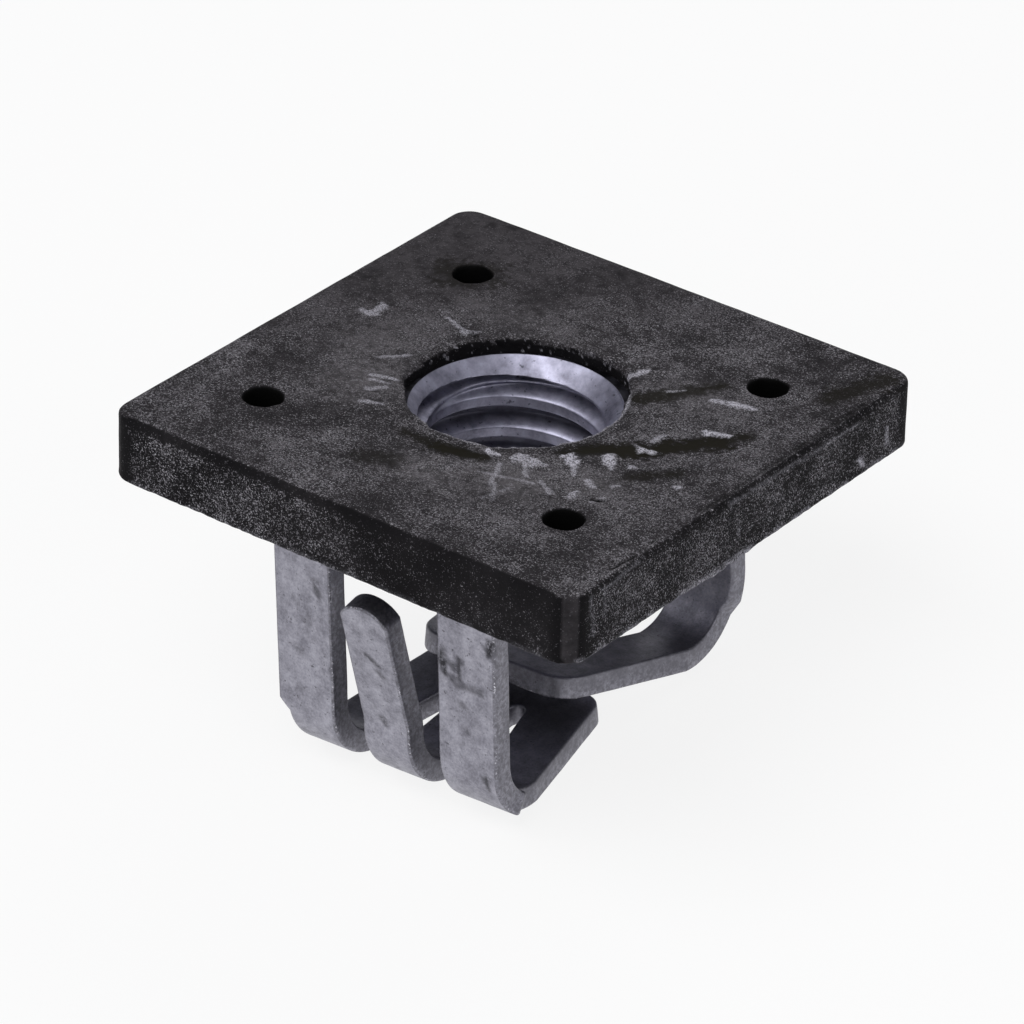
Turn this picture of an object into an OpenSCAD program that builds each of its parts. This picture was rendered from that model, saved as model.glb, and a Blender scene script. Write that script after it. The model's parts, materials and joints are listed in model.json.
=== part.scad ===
// Padded nut for the end of a square tube: a moulded square pad, a threaded collar nut that
// comes up into it, and a folded spring clip that hangs between them and grips the tube inside.
// The origin is on the thread's axis in the plane of the pad's underside, where the tube's end
// seats. +Z is up through the pad, and the clip's legs stand at -Y (front) and +Y (back).
// All lengths are in millimetres and all angles in degrees.

/* [Pad] */
// Side of the square pad, the same as the outside of the tube
pad_side = 25.4; // [22:0.1:32]
// Thickness of the pad
pad_t = 3.3; // [2.6:0.1:6]
// Radius of the pad's four upright corners
pad_corner_r = 1.1; // [0.6:0.1:3]
// Rounding of the pad's top edges
pad_edge_r = 0.35; // [0.1:0.05:0.5]
// Thickness of the lip that covers the top of the nut's collar
lip_t = 0.75; // [0.5:0.05:1.2]
// Gap between the lip's mouth and the edge of the nut's countersink
mouth_gap = 0.09; // [0.05:0.01:0.3]
// Distance between the mould-pin holes along X
pin_hole_pitch_x = 16.5; // [15:0.1:18]
// Distance between the mould-pin holes along Y
pin_hole_pitch_y = 14.9; // [13.5:0.1:18]
// Diameter of the mould-pin holes
pin_hole_d = 1.75; // [1:0.05:2.4]
// Depth of the mould-pin holes
pin_hole_depth = 2.2; // [0.5:0.1:2.4]

/* [Nut] */
// Outside diameter of the thread
thread_d = 9.525; // [8:0.005:10.5]
// Pitch of the thread
thread_pitch = 1.5875; // [1:0.0005:2]
// Wall of the collar round the thread
collar_wall = 0.65; // [0.5:0.05:1.2]
// Width of the nut's square body
nut_w = 14; // [13.2:0.1:15]
// Thickness of the nut's square body
nut_body_t = 2.2; // [1.5:0.1:4]
// Chamfer on the corners of the square body
nut_corner = 1; // [0.3:0.1:2]
// Chamfer at the lower end of the thread
exit_chamfer = 0.5; // [0.2:0.05:0.8]
// Gap between the collar and the pocket in the pad
pocket_gap = 0.05; // [0.02:0.01:0.2]

/* [Clip sheet] */
// Thickness of the sheet
sheet_t = 1.1; // [0.8:0.05:1.3]
// Width of the clip's two legs
leg_w = 12.2; // [11:0.1:13.5]
// Width of the plate left on each side of the collar hole
plate_rim = 1.3; // [1:0.05:2.5]
// Radius of the plate's corners
plate_corner_r = 0.8; // [0.2:0.1:1.5]
// Inner radius of the two bends under the pad
top_bend_ri = 0.8; // [0.4:0.05:0.95]
// Gap between the nut's body and each leg
leg_gap = 1.2; // [1.15:0.05:2.5]
// Sideways lean of the clip on the nut: its +X side sits higher
lean = 2.7; // [0:0.1:3.5]
// Distance that the clip sits forward of the thread's axis
clip_shift = 0.2; // [0:0.05:0.25]
// Gap between the clip's collar hole and the collar, beyond the shift
hole_gap = 0.2; // [0.15:0.05:0.5]
// Gap above and below the leaning plate, to the pad and to the nut's body
plate_gap = 0.06; // [0.03:0.01:0.3]

/* [Front leg] */
// Height from the top of the plate to the bottom of the leg
front_h = 12.5; // [12:0.1:15]
// Outer radius of the front leg's bottom bend
front_bend_r = 3.2; // [2.4:0.1:3.6]
// Angle at which the front flap rises from the bend
front_rise = 7.2; // [3:0.1:9]
// Length of the front flap beyond the bend
front_flap_l = 6.4; // [5:0.1:6.5]
// Width of the front flap at the bend
front_root_w = 11.2; // [10.5:0.1:12]
// Width of the front flap at its tip
front_tip_w = 9; // [7.5:0.1:9.5]
// Radius of the front flap's tip corners
front_corner_r = 0.9; // [0.5:0.1:2]
// Bend angle at which the front leg's -X edge steps in to its flap
front_step_angle = 12; // [10:1:60]
// The same on its +X edge, where the step was left as a nub
nub_angle = 62; // [10:1:80]

/* [Back leg] */
// Height from the top of the plate to the bottom of the leg
back_h = 11; // [10.5:0.1:11.1]
// Outer radius of the back leg's bottom bend
back_bend_r = 3.6; // [2.8:0.1:3.8]
// Angle at which the back flap rises from the bend
back_rise = 9.1; // [8:0.1:12]
// Length of the back flap beyond the bend
back_flap_l = 7.2; // [6:0.1:7.8]
// Width of the back flap at the bend
back_root_w = 11.6; // [10.5:0.1:12]
// Width of the back flap at its tip
back_tip_w = 8.2; // [7.5:0.1:9.5]
// Radius of the back flap's tip corners
back_corner_r = 1.5; // [0.5:0.1:2]
// Bend angle at which the back leg's edges step in to its flap
back_step_angle = 30; // [10:1:60]

/* [Tongues and slots] */
// Width of the opening between a leg's two straps
window_w = 5.9; // [5.4:0.1:6.4]
// Height of the solid band between the plate's top and the opening
header_h = 2; // [2:0.1:3.5]
// Width of the lanced tongue
tongue_w = 2.6; // [2:0.1:3]
// Gap in the flat sheet between the tongue's tip and the top of its opening
tip_gap = 0.1; // [0.05:0.05:1.5]
// Outward lean of the tongue
tongue_lean = 13.4; // [5:0.1:18]
// Height of the tongue's kink above the bottom bend
kink_rise = 0.3; // [0.1:0.1:1]
// Radius of the kink on the tongue's outer face
kink_r = 1.5; // [0.5:0.1:3]
// Radius of the tongue's arched tip
tongue_tip_r = 1.5; // [1.5:0.05:4]
// Length of each slot on the flap, from the bend
slot_l = 4.1; // [3:0.1:4.3]
// Width of each slot at its rounded end
slot_end_w = 0.75; // [0.6:0.05:1.1]

/* [Hidden] */
$fn = 64;
OVER = 1;                 // how far a cut runs past the face it opens
TRIM_START = 0.3;         // how far behind the bend's end a flap's trimming starts
CORNER_STEPS = 6;         // straight pieces in a flap's rounded corner or a slot's end
TIP_STEPS = 8;            // straight pieces in the tongue's arched tip
BEND_STEPS = 12;          // straight pieces in a bend of the sheet
KINK_STEPS = 3;           // straight pieces in the tongue's kink

collar_r = thread_d / 2 + collar_wall;
bore_r = (thread_d - thread_pitch) / 2;
mouth_r = thread_d / 2 + mouth_gap;
pocket_r = collar_r + pocket_gap;
collar_top = pad_t - lip_t;

top_bend_r = top_bend_ri + sheet_t;
plate_hole_r = collar_r + clip_shift + hole_gap;
plate_w = 2 * (plate_hole_r + plate_rim);
clip_half = nut_w / 2 + leg_gap + sheet_t;
plate_drop = room(plate_w / 2 * sin(lean) + plate_gap);
window_top = -plate_drop - header_h;
shoulder_z = -(2 * plate_drop + sheet_t);
nut_bottom = shoulder_z - nut_body_t;

// A clearance rounded up to a hundredth, so that the faces measured from it meet exactly
function room(gap) = ceil(100 * gap) / 100;

// Points of an arc about c, from angle a0 to angle a1 in n steps
function arc(c, r, a0, a1, n) =
    [for (i = [0:n]) let (a = a0 + (a1 - a0) * i / n) c + r * [cos(a), sin(a)]];

// A point and the way on from it: p moved by d along the angle a
function along(p, a, d) = p + d * [cos(a), sin(a)];

// Rounded rectangle, w by l, with corner radius r
module rounded_rectangle(w, l, r) {
    square([w, l - 2 * r], center = true);
    square([w - 2 * r, l], center = true);
    for (x = [-1, 1], y = [-1, 1])
        translate([x * (w / 2 - r), y * (l / 2 - r)]) circle(r);
}

// Half of a section with a rounded top edge: reach from the middle plane, and height up
module rounded_section(reach) {
    square([reach, pad_t - pad_edge_r]);
    square([reach - pad_edge_r, pad_t]);
    translate([reach - pad_edge_r, pad_t - pad_edge_r]) circle(pad_edge_r);
}

// The pad's block: two crossed bars and four corner posts, all with the same rounded top edge
module pad_block() {
    post_at = pad_side / 2 - pad_corner_r;
    for (turn = [0:90:270])
        rotate(turn) {
            translate([0, post_at, 0]) rotate([90, 0, 0])
                linear_extrude(2 * post_at) rounded_section(pad_side / 2);
            translate([post_at, post_at, 0]) rotate_extrude() rounded_section(pad_corner_r);
        }
}

module pad() {
    color("#333337") difference() {
        pad_block();
        translate([0, 0, -OVER]) cylinder(r = mouth_r, h = pad_t + 2 * OVER);
        translate([0, 0, -OVER]) cylinder(r = pocket_r, h = collar_top + OVER);
        for (x = [-1, 1], y = [-1, 1])
            translate([x * pin_hole_pitch_x / 2, y * pin_hole_pitch_y / 2, pad_t - pin_hole_depth])
                cylinder(d = pin_hole_d, h = pin_hole_depth + OVER);
    }
}

// Square body with cut corners below the clip's plate, and a round collar up into the pad
module nut() {
    sink = thread_d / 2 - bore_r;
    color("#8f8e99") difference() {
        union() {
            translate([0, 0, nut_bottom]) linear_extrude(nut_body_t) intersection() {
                square(nut_w, center = true);
                rotate(45) square(nut_w * sqrt(2) - 2 * nut_corner / sqrt(2), center = true);
            }
            translate([0, 0, nut_bottom]) cylinder(r = collar_r, h = collar_top - nut_bottom);
        }
        translate([0, 0, nut_bottom - OVER])
            cylinder(r = bore_r, h = collar_top - nut_bottom + 2 * OVER);
        translate([0, 0, collar_top - sink])
            cylinder(r1 = bore_r, r2 = thread_d / 2 + OVER, h = sink + OVER);
        translate([0, 0, nut_bottom - OVER])
            cylinder(r1 = bore_r + exit_chamfer + OVER, r2 = bore_r, h = exit_chamfer + OVER);
    }
}

// Turns a section drawn as (outward, up) into a strip across the leg, from x0 to x1
module strip(x0, x1) {
    translate([x0, 0, 0]) rotate([90, 0, 90]) linear_extrude(x1 - x0) children();
}

// Section of a leg in one run of sheet: off the plate, down the leg and round into the flap
module leg_section(bend_r, bend_z, rise, flap_l) {
    top_c = [clip_half - top_bend_r, -plate_drop - top_bend_r];
    low_c = [clip_half - bend_r, bend_z];
    flap_end = -90 - rise;
    flap_way = 180 - rise;
    outer = concat(arc(top_c, top_bend_r, 90, 0, BEND_STEPS),
                   arc(low_c, bend_r, 0, flap_end, BEND_STEPS));
    inner = concat(arc(low_c, bend_r - sheet_t, flap_end, 0, BEND_STEPS),
                   arc(top_c, top_bend_ri, 0, 90, BEND_STEPS));
    polygon(concat(outer,
                   [along(along(low_c, flap_end, bend_r), flap_way, flap_l),
                    along(along(low_c, flap_end, bend_r - sheet_t), flap_way, flap_l)],
                   inner));
}

// Places a shape drawn on the plane of a flap: the bend ends at y = 0 and the flap runs to -Y
module on_flap(bend_r, bend_z, rise) {
    translate([0, clip_half - bend_r, bend_z]) rotate([-rise, 0, 0])
        translate([0, 0, -bend_r]) children();
}

// Outline of a flap from behind the bend's end to its rounded tip
module flap_outline(length, root_w, tip_w, corner_r) {
    half_tip = tip_w / 2;
    side_slope = (root_w / 2 - half_tip) / length;
    lean_in = atan(side_slope);
    back_half = root_w / 2 + side_slope * OVER;
    // centre of the tip corner's arc, which touches the slanting side and the tip
    corner_y = corner_r - length;
    corner_x = half_tip + corner_r * (side_slope - 1 / cos(lean_in));
    corner = arc([corner_x, corner_y], corner_r, lean_in, -90, CORNER_STEPS);
    polygon(concat([[back_half, OVER]], corner,
                   [for (i = [CORNER_STEPS:-1:0]) [-corner[i].x, corner[i].y]],
                   [[-back_half, OVER]]));
}

// A slot runs beside the tongue and narrows from the opening's edge to a round end
module slot_outline(start) {
    inner = tongue_w / 2;
    end_r = slot_end_w / 2;
    end_y = end_r - slot_l;
    polygon(concat([[inner, start], [window_w / 2, start], [window_w / 2, 0]],
                   arc([inner + end_r, end_y], end_r, 0, -180, CORNER_STEPS)));
}

// Cuts in one leg: the opening, the slots beside the tongue and the outline of the flap
module leg_cuts(bend_r, bend_z, rise, flap_l, root_w, tip_w, corner_r, steps) {
    far = leg_w + flap_l;
    kink_z = bend_z + kink_rise;
    translate([-window_w / 2, clip_half - sheet_t - OVER, kink_z])
        cube([window_w, sheet_t + 2 * OVER, window_top - kink_z]);
    on_flap(bend_r, bend_z, rise) {
        for (side = [0, 1])
            mirror([side, 0, 0]) translate([0, 0, -OVER])
                linear_extrude(bend_r + kink_rise + 2 * OVER) slot_outline(bend_r + OVER);
        translate([0, 0, -OVER]) linear_extrude(sheet_t + 2 * OVER) difference() {
            translate([-far, -far]) square([2 * far, far + TRIM_START]);
            flap_outline(flap_l, root_w, tip_w, corner_r);
        }
    }
    for (side = [0, 1])
        mirror([side, 0, 0]) strip(root_w / 2, leg_w / 2 + OVER)
            translate([clip_half - bend_r, bend_z]) rotate(-steps[side])
                translate([-far, -far]) square([2 * far, far]);
}

// Section of the tongue above the bottom bend: kinked outwards, then straight for its length
module tongue_section(kink_z, length) {
    kink_c = [clip_half + kink_r, kink_z];
    turned = 180 - tongue_lean;
    up = 90 - tongue_lean;
    outer = arc(kink_c, kink_r, 180, turned, KINK_STEPS);
    inner = arc(kink_c, kink_r + sheet_t, turned, 180, KINK_STEPS);
    polygon(concat(outer,
                   [along(outer[KINK_STEPS], up, length + OVER), along(inner[0], up, length + OVER)],
                   inner));
}

// Lanced tongue with an arched tip, cut from the sheet of the opening above its kink
module tongue(kink_z) {
    kink_l = kink_r * tongue_lean * PI / 180;
    length = window_top - kink_z - kink_l - tip_gap;
    half = tongue_w / 2;
    tip_r = max(tongue_tip_r, half);
    tip_angle = acos(half / tip_r);
    tip_c = [0, length - tip_r];
    tip_side = tip_c.y + tip_r * sin(tip_angle);
    difference() {
        strip(-half, half) tongue_section(kink_z, length);
        translate([0, clip_half + kink_r, kink_z]) rotate([-tongue_lean, 0, 0])
            translate([0, OVER - kink_r, 0]) rotate([90, 0, 0]) linear_extrude(sheet_t + 2 * OVER)
                difference() {
                    translate([-tongue_w, tip_side]) square([2 * tongue_w, length]);
                    polygon(concat([[half + OVER, tip_side - OVER], [half + OVER, tip_side]],
                                   arc(tip_c, tip_r, tip_angle, 180 - tip_angle, TIP_STEPS),
                                   [[-half - OVER, tip_side], [-half - OVER, tip_side - OVER]]));
                }
    }
}

// A whole leg at +Y: top bend, straps, tongue, bottom bend and flap
module leg(h, bend_r, rise, flap_l, root_w, tip_w, corner_r, steps) {
    bend_z = bend_r - plate_drop - h;
    difference() {
        strip(-leg_w / 2, leg_w / 2) leg_section(bend_r, bend_z, rise, flap_l + OVER);
        leg_cuts(bend_r, bend_z, rise, flap_l, root_w, tip_w, corner_r, steps);
    }
    tongue(bend_z + kink_rise);
}

// Flat plate between the pad and the nut's body, with the collar's hole
module plate() {
    plate_l = 2 * (clip_half - top_bend_r);
    translate([0, 0, -plate_drop - sheet_t]) linear_extrude(sheet_t) difference() {
        rounded_rectangle(plate_w, plate_l, plate_corner_r);
        circle(plate_hole_r);
    }
}

// The clip is one folded sheet, leaning sideways on the nut
module clip() {
    color("#9b9aa8") translate([0, -clip_shift, 0]) rotate([0, -lean, 0]) {
        plate();
        mirror([0, 1, 0])
            leg(front_h, front_bend_r, front_rise, front_flap_l, front_root_w, front_tip_w,
                front_corner_r, [nub_angle, front_step_angle]);
        leg(back_h, back_bend_r, back_rise, back_flap_l, back_root_w, back_tip_w,
            back_corner_r, [back_step_angle, back_step_angle]);
    }
}

pad();
nut();
clip();
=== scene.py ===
import json
import math

import bmesh
import bpy
import numpy as np
from mathutils import Matrix, Vector, geometry, noise


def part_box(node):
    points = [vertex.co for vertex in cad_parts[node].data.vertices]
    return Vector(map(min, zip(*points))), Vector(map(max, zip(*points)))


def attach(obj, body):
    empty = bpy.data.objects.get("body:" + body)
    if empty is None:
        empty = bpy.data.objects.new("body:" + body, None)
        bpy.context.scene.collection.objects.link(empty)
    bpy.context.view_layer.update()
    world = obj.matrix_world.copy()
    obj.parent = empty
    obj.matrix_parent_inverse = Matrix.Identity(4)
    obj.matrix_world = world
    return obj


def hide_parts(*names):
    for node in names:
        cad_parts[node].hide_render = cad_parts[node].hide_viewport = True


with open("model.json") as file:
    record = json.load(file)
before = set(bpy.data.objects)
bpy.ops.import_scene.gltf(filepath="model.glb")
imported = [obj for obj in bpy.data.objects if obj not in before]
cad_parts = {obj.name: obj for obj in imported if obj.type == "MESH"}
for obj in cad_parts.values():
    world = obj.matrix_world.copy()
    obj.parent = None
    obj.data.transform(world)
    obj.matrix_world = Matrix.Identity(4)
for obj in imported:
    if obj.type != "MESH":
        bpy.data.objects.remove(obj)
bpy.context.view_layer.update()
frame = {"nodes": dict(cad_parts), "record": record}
mm = 0.001
padLow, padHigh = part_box("pad")
nutLow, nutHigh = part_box("nut")
threadMount = [m for m in frame["record"]["mounts"] if m["name"] == "nut_thread"][0]
boreRadius = threadMount["dims"]["r_mm"] * mm
print("frame loaded")


# sRGB hex to the linear values that the nodes want
def linearColour(hexText):
    channels = [int(hexText[i:i + 2], 16) / 255 for i in (1, 3, 5)]
    return [c / 12.92 if c <= 0.04045 else ((c + 0.055) / 1.055) ** 2.4 for c in channels] + [1.0]


# Blender's names for the two commonest nodes
maths, ranged = "ShaderNodeMath", "ShaderNodeMapRange"


# adds a node, sets its properties, and sets its inputs or links them to a node or a socket
def addNode(tree, kind, settings=None, inputs=None):
    node = tree.nodes.new(kind)
    for name, value in (settings or {}).items():
        setattr(node, name, value)
    for key, value in (inputs or {}).items():
        if isinstance(value, bpy.types.Node):
            tree.links.new(value.outputs[0], node.inputs[key])
        elif isinstance(value, bpy.types.NodeSocket):
            tree.links.new(value, node.inputs[key])
        else:
            node.inputs[key].default_value = value
    return node


def newMaterial(name):
    material = bpy.data.materials.new(name)
    material.use_nodes = True
    material.node_tree.nodes.clear()
    return material, material.node_tree


def addObject(name, vertices, faces):
    mesh = bpy.data.meshes.new(name)
    mesh.from_pydata(vertices, [], faces)
    piece = bpy.data.objects.new(name, mesh)
    bpy.context.scene.collection.objects.link(piece)
    return piece


# the evaluated result becomes a plain mesh on the same object
def bakeModifiers(piece):
    bpy.context.view_layer.update()
    depsgraph = bpy.context.evaluated_depsgraph_get()
    mesh = bpy.data.meshes.new_from_object(piece.evaluated_get(depsgraph))
    piece.modifiers.clear()
    piece.data = mesh


# merges doubles, turns every face outwards and shades smooth but for sharp edges
def finishMesh(piece, sharpAngle, merge=0.0005 * mm):
    shape = bmesh.new()
    shape.from_mesh(piece.data)
    bmesh.ops.remove_doubles(shape, verts=shape.verts, dist=merge)
    bmesh.ops.recalc_face_normals(shape, faces=shape.faces)
    shape.to_mesh(piece.data)
    shape.free()
    piece.data.polygons.foreach_set("use_smooth", [True] * len(piece.data.polygons))
    piece.data.set_sharp_from_angle(angle=math.radians(sharpAngle))


# quads between rings of equal length, the last joined back to the first where closed
def stitchRings(rings, closed=False):
    count = len(rings[0])
    faces = []
    for r in range(len(rings) if closed else len(rings) - 1):
        a, b = r * count, (r + 1) % len(rings) * count
        for i in range(count):
            j = (i + 1) % count
            faces.append((a + i, a + j, b + j, b + i))
    return [p for ring in rings for p in ring], faces


# smooth noise from -1 to 1, with bumps about that far across
def wobble(point, size, seed=0.0):
    return noise.noise(Vector(point) / size + Vector((seed, seed * 1.7, -seed)))


def wobbles(points, size, seed):
    return np.array([wobble(p, size, seed) for p in points])


# every point of a mesh, in millimetres
def pointsOf(piece):
    flat = np.empty(len(piece.data.vertices) * 3)
    piece.data.vertices.foreach_get("co", flat)
    return flat.reshape(-1, 3) / mm


# a value at each point of a finished mesh, for its material to read
def paint(piece, name, values):
    layer = piece.data.attributes.new(name, "FLOAT", "POINT")
    layer.data.foreach_set("value", np.ascontiguousarray(values, dtype=np.float32))


# 0 below the low value, 1 above the high one, with a soft step between
def ramp(values, low, high):
    share = np.clip((values - low) / (high - low), 0, 1)
    return share * share * (3 - 2 * share)


def flatRing(radius, z, count):
    angles = [2 * math.pi * i / count for i in range(count)]
    return [Vector((radius * math.cos(a), radius * math.sin(a), z)) for a in angles]


# camera, lamps, world and floor

cameraValues = {
    "azimuth": 36.8,
    "elevation": 30.33,
    "roll": 1.55,
    "lens": 210.83,
    "aimRight": -0.20 * mm,
    "aimUp": -5.298 * mm,
    "distance": 263.17 * mm,
}


def addCamera(v):
    a, e, r = (math.radians(v[k]) for k in ("azimuth", "elevation", "roll"))
    back = Vector((math.sin(a) * math.cos(e), -math.cos(a) * math.cos(e), math.sin(e)))
    level = Vector((math.cos(a), math.sin(a), 0))
    rise = back.cross(level)
    right = math.cos(r) * level + math.sin(r) * rise
    up = math.cos(r) * rise - math.sin(r) * level
    place = Vector((0, 0, padHigh.z)) + right * v["aimRight"] + up * v["aimUp"] + back * v["distance"]
    camera = bpy.data.objects.new("camera", bpy.data.cameras.new("camera"))
    camera.data.lens = v["lens"]
    camera.data.clip_start = 0.01
    camera.matrix_world = Matrix.Translation(place) @ Matrix((right, up, back)).transposed().to_4x4()
    bpy.context.scene.collection.objects.link(camera)
    bpy.context.scene.camera = camera


lampValues = [
    # name, azimuth, elevation, distance, width, height, watts
    ("keyPanel", -14, 60, 0.55, 0.64, 0.30, 2.2),
    ("frontPanel", 10, 20, 0.60, 0.40, 0.30, 0.45),
    ("rightPanel", 95, 30, 0.60, 0.30, 0.30, 0.55),
    ("backPanel", 190, 42, 0.60, 0.45, 0.35, 0.7),
]


def addLamps():
    for name, azimuth, elevation, distance, width, height, watts in lampValues:
        a, e = math.radians(azimuth), math.radians(elevation)
        out = Vector((math.sin(a) * math.cos(e), -math.cos(a) * math.cos(e), math.sin(e)))
        lamp = bpy.data.lights.new(name, "AREA")
        lamp.shape = "RECTANGLE"
        lamp.size, lamp.size_y = width, height
        lamp.energy = watts
        panel = bpy.data.objects.new(name, lamp)
        turn = out.to_track_quat("Z", "Y").to_matrix().to_4x4()
        panel.matrix_world = Matrix.Translation(out * distance) @ turn
        bpy.context.scene.collection.objects.link(panel)


# white behind the part and low round it, and a dimmer even sky for everything else
worldValues = {"behind": "#ffffff", "sky": "#e9edf6", "skyStrength": 0.17, "whiteTo": -0.08, "dimFrom": 0.38}


def buildWorld(v):
    world = bpy.data.worlds.new("studio")
    bpy.context.scene.world = world
    world.use_nodes = True
    tree = world.node_tree
    tree.nodes.clear()
    rays = addNode(tree, "ShaderNodeLightPath")
    ray = addNode(tree, "ShaderNodeTexCoord").outputs["Generated"]
    way = addNode(tree, "ShaderNodeSeparateXYZ", {}, {0: ray})
    low = addNode(tree, ranged, {"interpolation_type": "SMOOTHSTEP"},
                  {"Value": way.outputs[2], 1: v["whiteTo"], 2: v["dimFrom"], 3: 1.0, 4: 0.0})
    mirrored = addNode(tree, maths, {"operation": "MULTIPLY"}, {0: low, 1: rays.outputs["Is Glossy Ray"]})
    shown = addNode(tree, maths, {"operation": "MAXIMUM"}, {0: mirrored, 1: rays.outputs["Is Camera Ray"]})
    through = rays.outputs["Is Transmission Ray"]
    passed = addNode(tree, maths, {"operation": "MAXIMUM"}, {0: shown, 1: through})
    sky = addNode(tree, "ShaderNodeBackground", {},
                  {"Color": linearColour(v["sky"]), "Strength": v["skyStrength"]})
    behind = addNode(tree, "ShaderNodeBackground", {}, {"Color": linearColour(v["behind"]), "Strength": 1.0})
    mix = addNode(tree, "ShaderNodeMixShader", {}, {0: passed, 1: sky, 2: behind})
    addNode(tree, "ShaderNodeOutputWorld", {}, {"Surface": mix})


floorValues = {"reach": 0.6, "colour": "#f4f4f4", "whiteShare": 0.85}


# matt painted board, plain white to the eye and in the metal, with the part's faint shadow left in it
def paintedBoard(v):
    material, tree = newMaterial("paintedBoard")
    rays = addNode(tree, "ShaderNodeLightPath")
    seen = addNode(tree, maths, {"operation": "MAXIMUM"},
                   {0: rays.outputs["Is Camera Ray"], 1: rays.outputs["Is Glossy Ray"]})
    passed = addNode(tree, maths, {"operation": "MAXIMUM"}, {0: seen, 1: rays.outputs["Is Transmission Ray"]})
    share = addNode(tree, maths, {"operation": "MULTIPLY"}, {0: passed, 1: v["whiteShare"]})
    board = addNode(tree, "ShaderNodeBsdfDiffuse", {}, {"Color": linearColour(v["colour"])})
    white = addNode(tree, "ShaderNodeEmission", {}, {"Color": linearColour("#ffffff"), "Strength": 1.0})
    mix = addNode(tree, "ShaderNodeMixShader", {}, {0: share, 1: board, 2: white})
    addNode(tree, "ShaderNodeOutputMaterial", {}, {"Surface": mix})
    return material


# the part stands on its two folded bends: the floor is the face of its hull below the thread
def addFloor(v, standing):
    hull = bmesh.new()
    for vertex in standing.data.vertices:
        hull.verts.new(vertex.co)
    bmesh.ops.convex_hull(hull, input=hull.verts)
    hull.normal_update()
    under = [f for f in hull.faces if f.normal.z < -0.5]
    below = max(under, key=lambda f: f.calc_center_median().dot(f.normal) / f.normal.z)
    height = below.calc_center_median().dot(below.normal) / below.normal.z
    up = -below.normal.copy()
    hull.free()
    turn = up.to_track_quat("Z", "Y").to_matrix()
    corners = [turn @ Vector((x * v["reach"], y * v["reach"], 0)) + Vector((0, 0, height))
               for x, y in ((-1, -1), (1, -1), (1, 1), (-1, 1))]
    floor = addObject("studioFloor", corners, [(0, 1, 2, 3)])
    floor.data.materials.append(paintedBoard(v))
    lean = math.degrees(up.angle(Vector((0, 0, 1))))
    print("floor leans", round(lean, 2), "degrees, at", round(height / mm, 2), "mm")


# the pad

padValues = {
    "cornerRadius": 1.1 * mm,
    "edgeRadius": 0.35 * mm,
    "footRadius": 0.12 * mm,
    "mouthRadius": 4.85 * mm,
    "pocketRadius": 5.46 * mm,
    "lipRound": 0.18 * mm,
    "lipRag": 0.13 * mm,
    "pinPitch": (16.5 * mm, 14.9 * mm),
    "pinRadius": 0.875 * mm,
    "pinDepth": 2.2 * mm,
    "cornerSteps": 12,
    "sideSteps": 118,
    "topRows": 100,
    "sideRows": 16,
    # where the lip is torn back from the nut: angle and half-width in degrees, depth
    "tears": [(63, 30, 0.34 * mm), (200, 14, 0.2 * mm), (110, 12, 0.1 * mm)],
}

# all in millimetres: raised pale flecks on the top as x, y to x, y, the width at each end, and how pale
topFlecks = [
    (2.25, -4.95, 2.7, -5.0, 0.20, 0.16, 1.0), (3.6, -4.55, 4.9, -4.35, 0.34, 0.12, 0.75),
    (3.7, -4.3, 4.3, -4.7, 0.2, 0.3, 0.7), (5.35, -3.1, 5.7, -3.5, 0.34, 0.26, 1.0),
    (5.7, -3.5, 6.35, -4.2, 0.22, 0.07, 0.8), (6.5, -2.05, 6.9, -2.4, 0.27, 0.27, 1.0),
    (6.9, -2.4, 7.3, -2.8, 0.2, 0.07, 0.8), (7.3, -0.6, 7.8, -0.45, 0.2, 0.16, 1.0),
    (6.8, -0.45, 7.3, -0.55, 0.05, 0.12, 0.7), (8.6, 2.45, 9.5, 2.8, 0.24, 0.12, 1.0),
    (7.05, 4.9, 8.0, 5.2, 0.10, 0.2, 0.8), (8.0, 5.2, 8.9, 5.45, 0.24, 0.1, 0.95),
    (-10.0, 1.5, -9.25, 1.55, 0.10, 0.2, 0.6), (-9.3, 1.7, -9.45, 2.4, 0.15, 0.2, 0.6),
    (-6.5, 3.4, -5.2, 2.9, 0.06, 0.16, 0.55), (-5.1, 2.8, -4.6, 3.3, 0.2, 0.1, 0.5),
    (2.95, 4.25, 3.35, 5.3, 0.26, 0.1, 0.8), (-5.9, -2.9, -4.6, -2.5, 0.12, 0.1, 0.7),
    (-5.6, -3.2, -4.7, -3.0, 0.12, 0.05, 0.6), (-4.7, -5.0, -3.8, -4.6, 0.14, 0.06, 0.6),
    (-6.7, -1.5, -5.6, -0.4, 0.07, 0.12, 0.5), (-5.2, -4.0, -4.6, -3.3, 0.14, 0.1, 0.45),
    (7.1, -4.25, 7.6, -4.5, 0.12, 0.16, 0.65), (7.4, -5.8, 7.3, -5.3, 0.18, 0.12, 0.6),
    (7.85, -2.1, 8.0, -2.05, 0.13, 0.1, 0.75), (8.2, -3.95, 8.4, -3.7, 0.14, 0.1, 0.55),
    (10.25, -2.3, 10.45, -2.2, 0.09, 0.12, 0.9), (7.2, 0.3, 7.3, 1.0, 0.16, 0.08, 0.6),
    (5.1, 4.3, 5.6, 4.85, 0.08, 0.05, 0.6), (8.3, -5.65, 8.5, -4.95, 0.06, 0.05, 0.7),
    (3.3, -5.5, 4.1, -7.2, 0.10, 0.07, 0.5), (4.2, -7.0, 5.0, -8.2, 0.09, 0.05, 0.45),
    (4.2, -4.9, 4.8, -5.6, 0.10, 0.12, 0.5), (4.5, -8.3, 4.9, -6.9, 0.05, 0.06, 0.4),
    (5.6, -5.6, 6.5, -6.1, 0.08, 0.12, 0.45), (3.0, -6.6, 5.4, -5.9, 0.06, 0.08, 0.4),
]
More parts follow.
